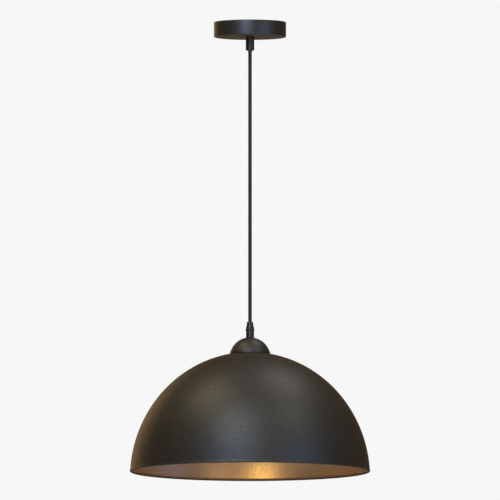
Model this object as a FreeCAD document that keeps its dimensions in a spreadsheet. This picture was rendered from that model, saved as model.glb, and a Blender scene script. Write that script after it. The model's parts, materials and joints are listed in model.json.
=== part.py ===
"""Pendant ceiling light: canopy and bracket, round cable, cord grips, cap, dome shade, lampholder, bulb.

Millimetres. +Z is up. The origin is on the ceiling plane, midway between the bracket's two fixing slots,
and everything hangs below it on the Z axis. Each sub-part is one object of the document, sized and placed
from the sheet "sizes".
"""

import FreeCAD, Part
import math
import os

import Sketcher

Vector = FreeCAD.Vector

SIZES = {
    # ceiling canopy: a drawn steel cup, open upwards
    "canopy_radius": 60.0,
    "canopy_height": 25.0,
    "canopy_wall": 1.0,
    "canopy_corner": 1.6,
    # ceiling bracket: a stamped strap whose middle plate hangs below its two tabs
    "bracket_width": 20.0,
    "bracket_thickness": 2.0,
    "bracket_drop": 18.0,
    "tab_end": 52.0,
    "tab_start": 30.0,
    "plate_half": 21.0,
    "slot_spacing": 80.0,
    "slot_length": 12.0,
    "slot_radius": 2.6,
    "ear_half": 10.0,
    "ear_reach": 28.0,
    "earth_place": -15.5,
    # M10 hollow nipples with their nuts and washers
    "thread_radius": 5.0,
    "thread_clearance": 0.03,
    "nipple_bore": 3.5,
    "upper_nipple_top": -11.7,
    "upper_nipple_bottom": -37.4,
    "nut_corner": 8.08,
    "nut_height": 3.0,
    "washer_radius": 8.5,
    "washer_thickness": 0.8,
    # cable, and the cuts between the lengths of it that bend, slide and twist
    "cord_radius": 3.0,
    "bend_ball": 2.85,
    "bend_gap": 0.3,
    "core_radius": 1.1,
    "core_ring": 1.4,
    "tail_top": -11.0,
    "upper_bend": -49.0,
    "second_bend": -61.0,
    "slide_cut": -481.0,
    "twist_cut": -488.0,
    "lower_bend": -497.6,
    "holder_sheath_end": -537.5,
    # upper cord grip
    "grip_radius": 7.1,
    "grip_length": 22.0,
    "grip_passage": 3.2,
    "grip_edge": 0.6,
    "collar_height": 1.6,
    "collar_radius": 4.3,
    "collar_mouth": 3.7,
    "grip_thread_depth": 12.6,
    "grip_screw_radius": 1.95,
    "grip_screw_height": -40.4,
    # lower cord grip: clamp nut, insert, body
    "clamp_top": -499.6,
    "clamp_height": 12.0,
    "clamp_mouth": 4.7,
    "clamp_base": 6.65,
    "clamp_cavity": 4.6,
    "insert_top": -502.2,
    "insert_height": 5.8,
    "flange_radius": 7.3,
    "flange_height": 3.0,
    "body_radius": 6.7,
    "body_stub": 4.5,
    "body_stub_height": 3.4,
    # cap: part of a ball with a flat top
    "cap_radius": 34.2,
    "cap_centre": -559.9,
    "cap_wall": 0.8,
    "cap_top": -526.35,
    "cap_base": -553.33,
    "cap_nut_drop": 0.4,
    # shade: part of an ellipsoid with a rolled rim
    "rim_height": -750.0,
    "dome_radius": 199.86,
    "dome_rise": 210.05,
    "dome_sink": 10.6,
    "shade_wall": 0.8,
    "shade_hole": 20.4,
    "bead_radius": 1.9,
    "bead_ring": 198.1,
    # lampholder
    "lower_nipple_top": -515.2,
    "lower_nipple_bottom": -536.0,
    "cover_top": -530.7,
    "cover_bottom": -551.6,
    "cover_radius": 22.0,
    "cover_crown": 5.0,
    "shoulder_radius": 24.0,
    "shoulder_height": 2.6,
    "skirt_radius": 19.6,
    "skirt_wall": 1.7,
    "skirt_top": -545.0,
    "skirt_bottom": -589.0,
    "carrier_top": -546.0,
    "carrier_height": 10.0,
    "shell_radius": 13.9,
    "shell_wall": 0.5,
    "shell_length": 29.0,
    "ring_top": -553.3,
    "ring_height": 8.0,
    "ring_flange": 27.0,
    "ring_grip": 23.5,
    "ring_flange_height": 3.0,
    # bulb
    "bulb_tip": -559.7,
    "bulb_cap_radius": 13.0,
    "bulb_cap_top": -565.0,
    "bulb_cap_length": 19.5,
    "bulb_radius": 30.0,
    "bulb_centre": -635.7,
    "bulb_neck": 12.4,
    "bulb_wall": 0.8,
    "neck_curve": 40.0,
    "filament_radius": 0.9,
    "filament_ring": 9.0,
    "filament_top": -607.0,
    "filament_length": 38.0,
    "wire_radius": 0.35,
    "stem_radius": 3.0,
    "stem_flare": 10.8,
    "stem_length": 27.2,
    "insulator_height": 4.6,
    "bulb_contact_radius": 4.6,
    "bulb_contact_height": 1.5,
    "driver_width": 12.0,
    "driver_thickness": 1.2,
    "capacitor_radius": 2.4,
    "capacitor_length": 8.0,
    # terminal block in the canopy
    "block_half": 8.0,
    "block_near": 11.0,
    "block_length": 16.0,
    "block_height": 12.5,
    "pole_place": 4.0,
    "wire_height": -9.0,
    "block_recess": 2.7,
    "block_tube_radius": 2.6,
    "block_tube_bore": 1.7,
    "block_tube_inset": 1.0,
    "wire_screw_radius": 1.5,
    "wire_screw_length": 3.6,
    "block_screw_radius": 1.2,
    "block_screw_head": 2.2,
    "block_screw_head_height": 1.4,
    # earth screw in the bracket, and the lug under its head
    "earth_screw_radius": 2.0,
    "earth_screw_head": 4.0,
    "earth_screw_head_height": 2.2,
    "lug_thickness": 0.8,
    "lug_radius": 4.2,
    "lug_barrel_radius": 1.9,
    "lug_barrel_far": -9.0,
    "lug_barrel_near": -5.0,
    # terminals and contacts in the lampholder
    "contact_place": 8.0,
    "contact_hole_depth": 5.0,
    "rivet_radius": 1.4,
    "rivet_depth": 2.5,
    "centre_contact_radius": 3.5,
    "centre_contact_leaf": 0.4,
    "side_contact_width": 5.0,
    "side_contact_height": 9.0,
    "side_contact_thickness": 0.5,
    "earth_tab_reach": -8.4,
    "earth_tab_radius": 6.6,
    "earth_tab_half": 2.2,
    "earth_tab_thickness": 0.8,
}


class Length:
    """A number together with the sheet formula that gives it, so that one sum makes both."""

    def __init__(self, value, formula):
        self.value = float(value)
        self.formula = formula

    def __add__(self, other):
        other = length(other)
        return Length(self.value + other.value, f"({self.formula} + {other.formula})")

    def __sub__(self, other):
        other = length(other)
        return Length(self.value - other.value, f"({self.formula} - {other.formula})")

    def __mul__(self, factor):
        return Length(self.value * factor, f"({self.formula} * {factor})")

    def __neg__(self):
        return Length(-self.value, f"(0 - {self.formula})")


def length(number):
    """The number as a Length, if it isn't one already."""
    if isinstance(number, Length):
        return number
    return Length(number, f"({float(number)})")


doc = FreeCAD.newDocument("pendant_light")
sheet = doc.addObject("Spreadsheet::Sheet", "sizes")
for row, (word, number) in enumerate(SIZES.items(), start=1):
    sheet.set(f"A{row}", word)
    sheet.set(f"B{row}", str(number))
    sheet.setAlias(f"B{row}", word)
doc.recompute()

s = type("Sizes", (), {word: Length(number, f"sizes.{word}") for word, number in SIZES.items()})
parts = {}


# ---- ways of making a sub-part ----------------------------------------------------------------------


def bind(thing, name, number):
    """Ties a property of thing to the sheet."""
    thing.setExpression(name, length(number).formula)


def place(thing, x=0, y=0, z=0):
    """Ties the place of thing to the sheet."""
    for axis, number in (("x", x), ("y", y), ("z", z)):
        bind(thing, f"Placement.Base.{axis}", number)
    return thing


def keep(label, thing):
    """Lists thing as the sub-part of that name."""
    thing.Label = label
    parts[label] = thing
    return thing


def new_body(label):
    body = doc.addObject("PartDesign::Body", label)
    body.Label = label
    return body


def sketch_on(body, plane, name):
    """An empty sketch on one of the body's own origin planes."""
    sketch = body.newObject("Sketcher::SketchObject", name)
    found = [feature for feature in body.Origin.OriginFeatures if feature.Role == plane]
    sketch.AttachmentSupport = [(found[0], "")]
    sketch.MapMode = "FlatFace"
    return sketch


def pin(sketch, kind, line, number):
    """Holds the start of a line at a distance from the sketch's origin that the sheet gives."""
    held = sketch.addConstraint(Sketcher.Constraint(kind, -1, 1, line, 1, length(number).value))
    sketch.setExpression(f"Constraints[{held}]", length(number).formula)


def draw_outline(sketch, corners):
    """A closed outline through the corners, each held by the sheet."""
    first = sketch.GeometryCount
    ends = [Vector(length(x).value, length(y).value, 0) for x, y in corners]
    for start, end in zip(ends, ends[1:] + ends[:1]):
        sketch.addGeometry(Part.LineSegment(start, end))
    for step in range(len(corners)):
        here = first + step
        following = first + (step + 1) % len(corners)
        sketch.addConstraint(Sketcher.Constraint("Coincident", here, 2, following, 1))
    for step, (x, y) in enumerate(corners):
        pin(sketch, "DistanceX", first + step, x)
        pin(sketch, "DistanceY", first + step, y)


def draw_circle(sketch, x, y, radius):
    """A circle whose centre and radius are held by the sheet."""
    x, y, radius = length(x), length(y), length(radius)
    circle = sketch.addGeometry(
        Part.Circle(Vector(x.value, y.value, 0), Vector(0, 0, 1), radius.value)
    )
    size = sketch.addConstraint(Sketcher.Constraint("Radius", circle, radius.value))
    sketch.setExpression(f"Constraints[{size}]", radius.formula)
    for kind, number in (("DistanceX", x), ("DistanceY", y)):
        held = sketch.addConstraint(Sketcher.Constraint(kind, -1, 1, circle, 3, number.value))
        sketch.setExpression(f"Constraints[{held}]", number.formula)


def turned_blank(label, corners, z=0):
    """A body turned about Z from (radius, height) corners, with its zero height at z."""
    body = new_body(label)
    outline = sketch_on(body, "XZ_Plane", label + "_outline")
    draw_outline(outline, corners)
    turn = body.newObject("PartDesign::Revolution", label + "_turn")
    turn.Profile = outline
    turn.ReferenceAxis = (outline, ["V_Axis"])
    turn.Angle = 360.0
    place(body, z=z)
    return body


def turned(label, corners, z=0):
    """A sub-part turned about Z from (radius, height) corners, with its zero height at z."""
    return keep(label, turned_blank(label, corners, z))


def tube(label, outer, inner, top, bottom):
    """A plain tube about Z between two heights."""
    high = length(top) - bottom
    return turned(label, [(inner, 0), (outer, 0), (outer, high), (inner, high)], bottom)


def headed_screw(label, shank_radius, shank, head_radius, head, at):
    """A screw along -Z, with the underside of its head at the given place."""
    screw = turned(
        label,
        [
            (0, -shank),
            (shank_radius, -shank),
            (shank_radius, 0),
            (head_radius, 0),
            (head_radius, head),
            (0, head),
        ],
    )
    return place(screw, *at)


def solid(kind, name, at=(0, 0, 0), **sizes):
    """A Part primitive, sized and placed from the sheet."""
    made = doc.addObject("Part::" + kind, name)
    for word, number in sizes.items():
        bind(made, word, number)
    return place(made, *at)


def cut(name, base, *tools):
    """The base less the tools."""
    for count, tool in enumerate(tools):
        made = doc.addObject("Part::Cut", f"{name}_cut{count}")
        made.Base = base
        made.Tool = tool
        base = made
    return base


def fuse(name, *pieces):
    made = doc.addObject("Part::MultiFuse", name + "_fused")
    made.Shapes = list(pieces)
    return made


def group(name, *pieces):
    """Separate solids that are one sub-part, such as a set of screws."""
    made = doc.addObject("Part::Compound", name + "_group")
    made.Links = list(pieces)
    return made


def bent_wire(label, radius, points):
    """A round wire along straight runs joined by tangent arcs, each as large as its two runs allow."""
    share_of_run = 0.45
    points = [Vector(*(length(number).value for number in point)) for point in points]
    edges = []
    start = points[0]
    for previous, corner, following in zip(points, points[1:], points[2:]):
        back = (previous - corner).normalize()
        ahead = (following - corner).normalize()
        reach = share_of_run * min((previous - corner).Length, (following - corner).Length)
        inside = (back + ahead).normalize()
        half_angle = back.getAngle(ahead) / 2
        bend = reach * math.tan(half_angle)
        middle = corner + inside * (bend / math.sin(half_angle) - bend)
        edges.append(Part.LineSegment(start, corner + back * reach).toShape())
        edges.append(Part.Arc(corner + back * reach, middle, corner + ahead * reach).toShape())
        start = corner + ahead * reach
    edges.append(Part.LineSegment(start, points[-1]).toShape())
    path = Part.Wire(edges)
    section = Part.Wire([Part.Circle(points[0], points[1] - points[0], radius.value).toShape()])
    wire = doc.addObject("Part::Feature", label)
    wire.Shape = path.makePipeShell([section], True, True)
    expected = math.pi * radius.value**2 * path.Length
    assert abs(wire.Shape.Volume / expected - 1) < 0.02, label
    return keep(label, wire)


# ---- ceiling fixture --------------------------------------------------------------------------------


def make_bracket():
    """Strap with two tabs on the ceiling, sloping webs, a middle plate, and an ear for the block."""
    thick = s.bracket_thickness
    drop = s.bracket_drop
    web_slope = math.atan2(drop.value - thick.value, s.tab_start.value - s.plate_half.value)
    shift = thick * math.tan(web_slope / 2)
    body = keep("ceiling_bracket", new_body("ceiling_bracket"))
    side = sketch_on(body, "XZ_Plane", "strap_outline")
    upper = [(s.tab_end, 0), (s.tab_start, 0), (s.plate_half, thick - drop)]
    under = [(s.plate_half + shift, -drop), (s.tab_start + shift, -thick), (s.tab_end, -thick)]
    left_upper = [(-x, z) for x, z in reversed(upper)]
    left_under = [(-x, z) for x, z in reversed(under)]
    draw_outline(side, upper + left_upper + left_under + under)
    strap = body.newObject("PartDesign::Pad", "strap")
    strap.Profile = side
    strap.SideType = "Symmetric"
    bind(strap, "Length", s.bracket_width)

    ear_outline = sketch_on(body, "XY_Plane", "ear_outline")
    bind(ear_outline, "AttachmentOffset.Base.z", -drop)
    root, half, reach = s.bracket_width * 0.4, s.ear_half, s.ear_reach
    draw_outline(ear_outline, [(-half, root), (half, root), (half, reach), (-half, reach)])
    ear = body.newObject("PartDesign::Pad", "ear")
    ear.Profile = ear_outline
    bind(ear, "Length", thick)

    holes = sketch_on(body, "XY_Plane", "plate_holes")
    draw_circle(holes, 0, 0, s.thread_radius + s.thread_clearance)
    draw_circle(holes, s.earth_place, 0, s.earth_screw_radius + s.thread_clearance)
    draw_circle(holes, 0, s.block_near + s.block_length * 0.5, s.block_screw_radius + s.thread_clearance)
    slots = sketch_on(body, "XY_Plane", "slot_middles")
    ends = sketch_on(body, "XY_Plane", "slot_ends")
    half_run = s.slot_length * 0.5 - s.slot_radius
    for middle in (s.slot_spacing * -0.5, s.slot_spacing * 0.5):
        near, far = middle - half_run, middle + half_run
        low, high = -s.slot_radius, s.slot_radius
        draw_outline(slots, [(near, low), (far, low), (far, high), (near, high)])
        draw_circle(ends, near, 0, s.slot_radius)
        draw_circle(ends, far, 0, s.slot_radius)
    for profile in (holes, slots, ends):
        doc.recompute()
        volume = body.Shape.Volume
        cut_through(body, profile)
        doc.recompute()
        assert body.Shape.Volume < volume, profile.Name


def cut_through(body, profile):
    """A pocket right through the body, both ways from the profile."""
    pocket = body.newObject("PartDesign::Pocket", profile.Name + "_cut")
    pocket.Profile = profile
    pocket.SideType = "Symmetric"
    pocket.Type = "ThroughAll"
    return pocket


def make_top_fixings():
    """Nipple through the bracket's plate, with a nut and a washer on each side of the plate."""
    tube("upper_nipple", s.thread_radius, s.nipple_bore, s.upper_nipple_top, s.upper_nipple_bottom)
    plate_top = s.bracket_thickness - s.bracket_drop
    under_washer = -s.bracket_drop - s.washer_thickness
    washers = [flat_washer("washer_over", plate_top), flat_washer("washer_under", under_washer)]
    nuts = [
        hex_nut("nut_over", plate_top + s.washer_thickness),
        hex_nut("nut_under", under_washer - s.nut_height),
    ]
    keep("upper_nipple_washers", group("upper_nipple_washers", *washers))
    keep("upper_nipple_nuts", group("upper_nipple_nuts", *nuts))


def flat_washer(name, z):
    thick = s.washer_thickness
    disc = solid("Cylinder", name + "_disc", (0, 0, z), Radius=s.washer_radius, Height=thick)
    return cut(name, disc, nipple_hole(name, z, thick))


def nipple_hole(name, z, high):
    """What is cut from a nut or a washer to let the nipple through."""
    bore = s.thread_radius + s.thread_clearance
    return solid("Cylinder", name + "_hole", (0, 0, z), Radius=bore, Height=high)


def hex_nut(name, z):
    blank = solid("Prism", name + "_blank", (0, 0, z), Circumradius=s.nut_corner, Height=s.nut_height)
    return cut(name, blank, nipple_hole(name, z, s.nut_height))


def make_canopy():
    """Drawn cup with its rim on the ceiling and a hole for the nipple in its floor."""
    high, wall = s.canopy_height, s.canopy_wall
    hole = s.thread_radius + 0.2
    outer, inner = s.canopy_radius, s.canopy_radius - wall
    body = turned(
        "canopy",
        [(hole, 0), (outer, 0), (outer, high), (inner, high), (inner, wall), (hole, wall)],
        -high,
    )
    doc.recompute()
    rounded = body.newObject("PartDesign::Fillet", "canopy_corner")
    rounded.Base = (body.getObject("canopy_turn"), [circle_edge(body, s.canopy_radius.value, -high.value)])
    bind(rounded, "Radius", s.canopy_corner)


def circle_edge(body, radius, height):
    """The name of the body's round edge of that radius at that height."""
    for number, edge in enumerate(body.Shape.Edges, start=1):
        box = edge.BoundBox
        if abs(box.XMax - radius) < 0.01 and abs(box.ZMin - height) < 0.01 and box.ZLength < 0.01:
            return f"Edge{number}"
    raise ValueError(f"{body.Label} has no such edge")


def make_upper_grip():
    """Cord grip: a tube with a threaded socket over a small collar, and a side screw for the cable."""
    long, outer, passage = s.grip_length, s.grip_radius, s.grip_passage
    bore = s.thread_radius + s.thread_clearance
    seat = long - s.grip_thread_depth
    blank = turned_blank(
        "upper_grip_blank",
        [
            (passage, -s.collar_height),
            (s.collar_mouth, -s.collar_height),
            (s.collar_radius, 0),
            (outer - s.grip_edge, 0),
            (outer, s.grip_edge),
            (outer, long),
            (bore, long),
            (bore, seat),
            (passage, seat),
        ],
        -s.canopy_height - long,
    )
    height = s.grip_screw_height
    side_hole = sideways("grip_side_hole", s.grip_screw_radius + s.thread_clearance, 0, outer + 1, height)
    keep("upper_grip_body", cut("upper_grip", blank, side_hole))
    tip, head = s.cord_radius + s.thread_clearance, outer - 0.1
    keep("upper_grip_screw", sideways("grip_screw", s.grip_screw_radius, tip, head, height))


def sideways(name, radius, start, end, z, x=0):
    """A cylinder along +Y from start to end, at height z."""
    made = doc.addObject("Part::Cylinder", name)
    made.Placement = FreeCAD.Placement(Vector(), FreeCAD.Rotation(Vector(1, 0, 0), -90))
    bind(made, "Radius", radius)
    bind(made, "Height", length(end) - start)
    return place(made, x, start, z)


def make_terminal_block():
    """Two-pole block on the bracket's ear: moulded body, brass tubes, four wire screws, one fixing screw."""
    plate_top = s.bracket_thickness - s.bracket_drop
    make_block_body(plate_top)
    make_block_terminals()
    seat = plate_top + s.block_height - s.block_recess
    shank = seat - plate_top + s.bracket_thickness + 0.5
    middle = s.block_near + s.block_length * 0.5
    headed_screw(
        "terminal_block_screw",
        s.block_screw_radius,
        shank,
        s.block_screw_head,
        s.block_screw_head_height,
        (0, middle, seat),
    )


def screw_rows():
    """How far each pair of wire screws stands from the block's near face."""
    return (s.block_length * 0.25, s.block_length * 0.75)


def make_block_body(plate_top):
    """Moulding with a tunnel for each tube, a well over each screw and a hole for the fixing screw."""
    half, deep, high = s.block_half, s.block_length, s.block_height
    wire_up = s.wire_height - plate_top
    body = keep("terminal_block", new_body("terminal_block"))
    base = sketch_on(body, "XY_Plane", "block_base")
    draw_outline(base, [(-half, 0), (half, 0), (half, deep), (-half, deep)])
    pad = body.newObject("PartDesign::Pad", "block_pad")
    pad.Profile = base
    bind(pad, "Length", high)
    tunnels = sketch_on(body, "XZ_Plane", "block_tunnels")
    fixing = sketch_on(body, "XY_Plane", "block_fixing_hole")
    draw_circle(fixing, 0, deep * 0.5, s.block_screw_radius + s.thread_clearance)
    wells = sketch_on(body, "XY_Plane", "block_screw_wells")
    bind(wells, "AttachmentOffset.Base.z", high)
    recess = sketch_on(body, "XY_Plane", "block_fixing_recess")
    bind(recess, "AttachmentOffset.Base.z", high)
    draw_circle(recess, 0, deep * 0.5, s.block_screw_head + 0.1)
    for side in (-1, 1):
        draw_circle(tunnels, s.pole_place * side, wire_up, s.block_tube_radius + s.thread_clearance)
        for row_place in screw_rows():
            draw_circle(wells, s.pole_place * side, row_place, s.wire_screw_radius + 0.3)
    doc.recompute()
    volume = body.Shape.Volume
    cut_through(body, tunnels)
    cut_through(body, fixing)
    for profile, depth in ((wells, high - wire_up), (recess, s.block_recess)):
        well = body.newObject("PartDesign::Pocket", profile.Name + "_cut")
        well.Profile = profile
        bind(well, "Length", depth)
    place(body, 0, s.block_near, plate_top)
    doc.recompute()
    assert body.Shape.Volume < volume * 0.85, "the block's holes are not cut"


def make_block_terminals():
    """The two brass tubes, each with two screws that press on its wires."""
    near, far = s.block_near, s.block_near + s.block_length
    inset, height = s.block_tube_inset, s.wire_height
    tap_radius = s.wire_screw_radius + s.thread_clearance
    tubes = []
    screws = []
    for side in (-1, 1):
        x = s.pole_place * side
        brass = sideways(f"tube_{side}", s.block_tube_radius, near + inset, far - inset, height, x)
        tools = [sideways(f"tube_bore_{side}", s.block_tube_bore, near, far, height, x)]
        for row_place in screw_rows():
            y = near + row_place
            deep = s.block_tube_radius + 1
            tools.append(solid("Cylinder", "tube_tap", (x, y, height), Radius=tap_radius, Height=deep))
            tip = height + s.core_radius + 0.05
            size = {"Radius": s.wire_screw_radius, "Height": s.wire_screw_length}
            screws.append(solid("Cylinder", "wire_screw", (x, y, tip), **size))
        tubes.append(cut(f"terminal_tube_{side}", brass, *tools))
    keep("terminal_tubes", group("terminal_tubes", *tubes))
    keep("terminal_screws", group("terminal_screws", *screws))


def make_earth_point():
    """Earth screw in the bracket's plate, with the earth core's ring lug under its head."""
    plate_top = s.bracket_thickness - s.bracket_drop
    x, thick = s.earth_place, s.lug_thickness
    shank = thick + s.bracket_thickness + 1
    head, high = s.earth_screw_head, s.earth_screw_head_height
    headed_screw("earth_screw", s.earth_screw_radius, shank, head, high, (x, 0, plate_top + thick))
    eye_radius = s.earth_screw_radius + 0.1
    ring = solid("Cylinder", "lug_ring", (x, 0, plate_top), Radius=s.lug_radius, Height=thick)
    eye = solid("Cylinder", "lug_eye", (x, 0, plate_top), Radius=eye_radius, Height=thick)
    far, near, outer = s.lug_barrel_far, s.lug_barrel_near, s.lug_barrel_radius
    tongue_at = (x - 1.5, far, plate_top)
    tongue = solid("Box", "lug_tongue", tongue_at, Length=3.0, Width=6.0, Height=thick)
    barrel = sideways("lug_barrel", outer, far, near, plate_top + outer, x)
    bore = sideways("lug_barrel_bore", s.core_radius + 0.05, far, near, plate_top + outer, x)
    keep("earth_lug", cut("earth_lug", fuse("earth_lug", ring, tongue, barrel), eye, bore))


# ---- cable ------------------------------------------------------------------------------------------


def cord_length(label, top, bottom, bends_at_bottom):
    """A straight length of cable, ending in a ball about the point where the next length bends."""
    run = solid("Cylinder", label + "_run", (0, 0, bottom), Radius=s.cord_radius, Height=length(top) - bottom)
    if not bends_at_bottom:
        return keep(label, run)
    ball = solid("Sphere", label + "_ball", (0, 0, bottom), Radius=s.bend_ball)
    return keep(label, fuse(label, run, ball))


def make_cable():
    """One cable, cut where it bends at the grips, where its length is set and where it twists."""
    past_ball = s.bend_ball + s.bend_gap
    half_gap = s.bend_gap * 0.5
    cord_length("cable_tail", s.tail_top, s.upper_bend, True)
    cord_length("cable_top_bend", s.upper_bend - past_ball, s.second_bend, True)
    cord_length("cable_run", s.second_bend - past_ball, s.slide_cut + half_gap, False)
    cord_length("cable_lower_length", s.slide_cut - half_gap, s.twist_cut + half_gap, False)
    cord_length("cable_bottom_bend", s.twist_cut - half_gap, s.lower_bend, True)
    cord_length("cable_end", s.lower_bend - past_ball, s.holder_sheath_end, False)


def core_start(turn, z):
    """The place of one of the three cores in the sheath's section."""
    angle = math.radians(turn)
    return (s.core_ring * math.cos(angle), s.core_ring * math.sin(angle), z)


def make_upper_cores():
    """Live and neutral go over and down into the block, earth goes to the lug."""
    up = s.tail_top + 5.6
    inside_block = s.block_near + 6
    before_block = s.block_near - 2
    for label, turn, side in (("upper_live_core", 150, -1), ("upper_neutral_core", 30, 1)):
        x, y, z = core_start(turn, s.tail_top)
        entry = s.pole_place * side
        route = [(x, y, z), (x, y, up), (entry, 6.6, up + 0.4)]
        route += [(entry, before_block, s.wire_height), (entry, inside_block, s.wire_height)]
        bent_wire(label, s.core_radius, route)
    x, y, z = core_start(270, s.tail_top)
    lug_height = s.bracket_thickness - s.bracket_drop + s.lug_barrel_radius
    route = [(x, y, z), (x, y, up), (-4.5, -9.0, up - 0.5), (-12.0, -16.5, up - 3.0)]
    route += [(s.earth_place, -14.5, lug_height), (s.earth_place, s.lug_barrel_near - 1, lug_height)]
    bent_wire("upper_earth_core", s.core_radius, route)


def make_lower_cores():
    """Live and neutral go down into the carrier's two spring terminals, earth turns up to its tab."""
    down = s.holder_sheath_end - 2.2
    into_carrier = s.carrier_top - s.contact_hole_depth + 0.5
    for label, turn, side in (("lower_live_core", 150, -1), ("lower_neutral_core", 30, 1)):
        x, y, z = core_start(turn, s.holder_sheath_end)
        entry = s.contact_place * side
        route = [(x, y, z), (x, y, down), (entry, 0, down - 2.6), (entry, 0, into_carrier)]
        bent_wire(label, s.core_radius, route)
    x, y, z = core_start(270, s.holder_sheath_end)
    low, tab, reach = down - 1.4, s.lower_nipple_bottom - 1.2, s.earth_tab_reach
    bent_wire("lower_earth_core", s.core_radius, [(x, y, z), (x, y, low), (0, reach, low), (0, reach, tab)])


# ---- lower grip, cap and shade ----------------------------------------------------------------------


def make_lower_grip():
    """Clamp nut that tapers to the cable, rubber insert that it squeezes, and the body under it."""
    tall, mouth, base, cavity = s.clamp_height, s.clamp_mouth, s.clamp_base, s.clamp_cavity
    lip = 2.0
    turned(
        "clamp_nut",
        [
            (cavity, 0),
            (base, 0),
            (base, tall * 0.1),
            (base - 0.3, tall * 0.23),
            (base - 1.0, tall * 0.5),
            (mouth + 0.55, tall * 0.78),
            (mouth, tall),
            (s.grip_passage, tall),
            (s.grip_passage, tall - lip),
            (cavity, tall - lip - 0.6),
        ],
        s.clamp_top - tall,
    )
    tube("grip_insert", cavity - 0.1, s.cord_radius + 0.05, s.insert_top, s.insert_top - s.insert_height)
    bottom = s.cap_top
    flange_bottom = s.clamp_top - tall - s.flange_height - bottom
    flange_top = s.clamp_top - tall - bottom
    socket = s.lower_nipple_top + 0.2 - bottom
    bore = s.thread_radius + s.thread_clearance
    turned(
        "lower_grip_body",
        [
            (bore, 0),
            (s.body_radius, 0),
            (s.body_radius, flange_bottom),
            (s.flange_radius, flange_bottom),
            (s.flange_radius, flange_top),
            (s.body_stub, flange_top),
            (s.body_stub, flange_top + s.body_stub_height),
            (s.grip_passage, flange_top + s.body_stub_height),
            (s.grip_passage, socket),
            (bore, socket),
        ],
        bottom,
    )
    tube("lower_nipple", s.thread_radius, s.nipple_bore, s.lower_nipple_top, s.lower_nipple_bottom)
    under_cap = s.cap_top - s.cap_wall - s.cap_nut_drop - s.nut_height
    keep("cap_nut", hex_nut("cap_nut_hex", under_cap))


def make_cap():
    """Half-ball cap with a flat seat for the grip, hiding the lampholder's upper half."""
    foot, wall = s.cap_base, s.cap_wall
    high = s.cap_top - foot
    ball = solid("Sphere", "cap_ball", (0, 0, s.cap_centre), Radius=s.cap_radius)
    slab = solid("Cylinder", "cap_slab", (0, 0, foot), Radius=s.cap_radius + 1, Height=high)
    inner_ball = solid("Sphere", "cap_inner_ball", (0, 0, s.cap_centre), Radius=s.cap_radius - wall)
    inner_high = high - wall + 1
    inner_slab = solid("Cylinder", "cap_inner_slab", (0, 0, foot - 1), Radius=s.cap_radius, Height=inner_high)
    hole = solid("Cylinder", "cap_hole", (0, 0, foot), Radius=s.thread_radius + 0.1, Height=s.cap_radius)
    outside = common("cap_outside", ball, slab)
    inside = common("cap_inside", inner_ball, inner_slab)
    keep("cap", cut("cap", outside, inside, hole))


def common(name, *pieces):
    made = doc.addObject("Part::MultiCommon", name)
    made.Shapes = list(pieces)
    return made


def draw_dome_arc(sketch, radius, rise, sink, top_radius, bottom):
    """An upright ellipse's arc from top_radius down to the height bottom, its centre sink below zero."""
    tall, wide, low = rise.value, radius.value, -sink.value
    ellipse = Part.Ellipse(Vector(0, tall + low, 0), Vector(-wide, low, 0), Vector(0, low, 0))
    top_height = low + tall * math.sqrt(1 - (top_radius.value / wide) ** 2)
    bottom_radius = wide * math.sqrt(1 - ((bottom.value - low) / tall) ** 2)
    first = ellipse.parameter(Vector(bottom_radius, bottom.value, 0))
    last = ellipse.parameter(Vector(top_radius.value, top_height, 0))
    arc = sketch.addGeometry(Part.ArcOfEllipse(ellipse, first, last))
    sketch.exposeInternalGeometry(arc)
    upright, level = arc + 1, arc + 2
    sketch.addConstraint(Sketcher.Constraint("PointOnObject", arc, 3, -2))
    sketch.addConstraint(Sketcher.Constraint("Vertical", upright))
    for held, number in (
        (("DistanceY", -1, 1, arc, 3), -sink),
        (("Distance", upright), rise * 2),
        (("Distance", level), radius * 2),
        (("DistanceX", -1, 1, arc, 2), top_radius),
        (("DistanceY", -1, 1, arc, 1), bottom),
    ):
        made = sketch.addConstraint(Sketcher.Constraint(*held, number.value))
        sketch.setExpression(f"Constraints[{made}]", number.formula)
    return arc


def make_shade():
    """Dome of one sheet, with a hole for the lampholder and a rolled rim."""
    body = keep("shade", new_body("shade"))
    section = sketch_on(body, "XZ_Plane", "dome_section")
    arcs = []
    for wall in (length(0), s.shade_wall):
        wide, rise = s.dome_radius - wall, s.dome_rise - wall
        arcs.append(draw_dome_arc(section, wide, rise, s.dome_sink, s.shade_hole, s.bead_radius))
    outer, inner = arcs
    for end in (1, 2):
        line = Part.LineSegment(section.getPoint(outer, end), section.getPoint(inner, end))
        closing = section.addGeometry(line)
        section.addConstraint(Sketcher.Constraint("Coincident", closing, 1, outer, end))
        section.addConstraint(Sketcher.Constraint("Coincident", closing, 2, inner, end))
    bead = sketch_on(body, "XZ_Plane", "bead_section")
    draw_circle(bead, s.bead_ring, s.bead_radius, s.bead_radius)
    for profile in (section, bead):
        turn = body.newObject("PartDesign::Revolution", profile.Name + "_turn")
        turn.Profile = profile
        turn.ReferenceAxis = (profile, ["V_Axis"])
        turn.Angle = 360.0
    place(body, z=s.rim_height)


# ---- lampholder -------------------------------------------------------------------------------------


def make_lampholder():
    """E27 lampholder: cover, skirt, carrier with two spring terminals, shell, contacts and shade ring."""
    carrier_bottom = s.carrier_top - s.carrier_height
    make_holder_cover()
    tube("lampholder_skirt", s.skirt_radius, s.skirt_radius - s.skirt_wall, s.skirt_top, s.skirt_bottom)
    make_carrier(carrier_bottom)
    shell_bottom = carrier_bottom - s.shell_length
    tube("screw_shell", s.shell_radius, s.shell_radius - s.shell_wall, carrier_bottom, shell_bottom)
    make_contacts(carrier_bottom)
    make_shade_ring()


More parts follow.
